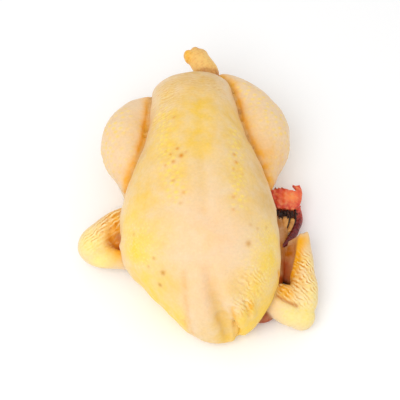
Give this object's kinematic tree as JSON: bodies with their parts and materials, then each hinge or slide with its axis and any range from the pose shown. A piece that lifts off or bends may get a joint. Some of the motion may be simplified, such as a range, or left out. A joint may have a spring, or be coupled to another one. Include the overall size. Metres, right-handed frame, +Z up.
{
  "type": "whole raw chicken",
  "caption": "Plump raw yellow-skinned chicken lying on its back, breast up, with head, folded wings, tucked legs and a short scaly shank.",
  "frame": {"origin": "on the table under the middle of the bird, on the flat of its back", "axes": "+Y from the neck towards the tail, +Z up out of the breast, +X towards the bird's right side"},
  "size_m": [0.2104, 0.2782, 0.1037],
  "materials": {
    "skin": "satin",
    "comb": "satin",
    "wattle": "satin",
    "beak": "satin",
    "shank": "satin",
    "feathers": "matte"
  },
  "bodies": {
    "root": {"chicken": "skin"}
  },
  "joints": []
}
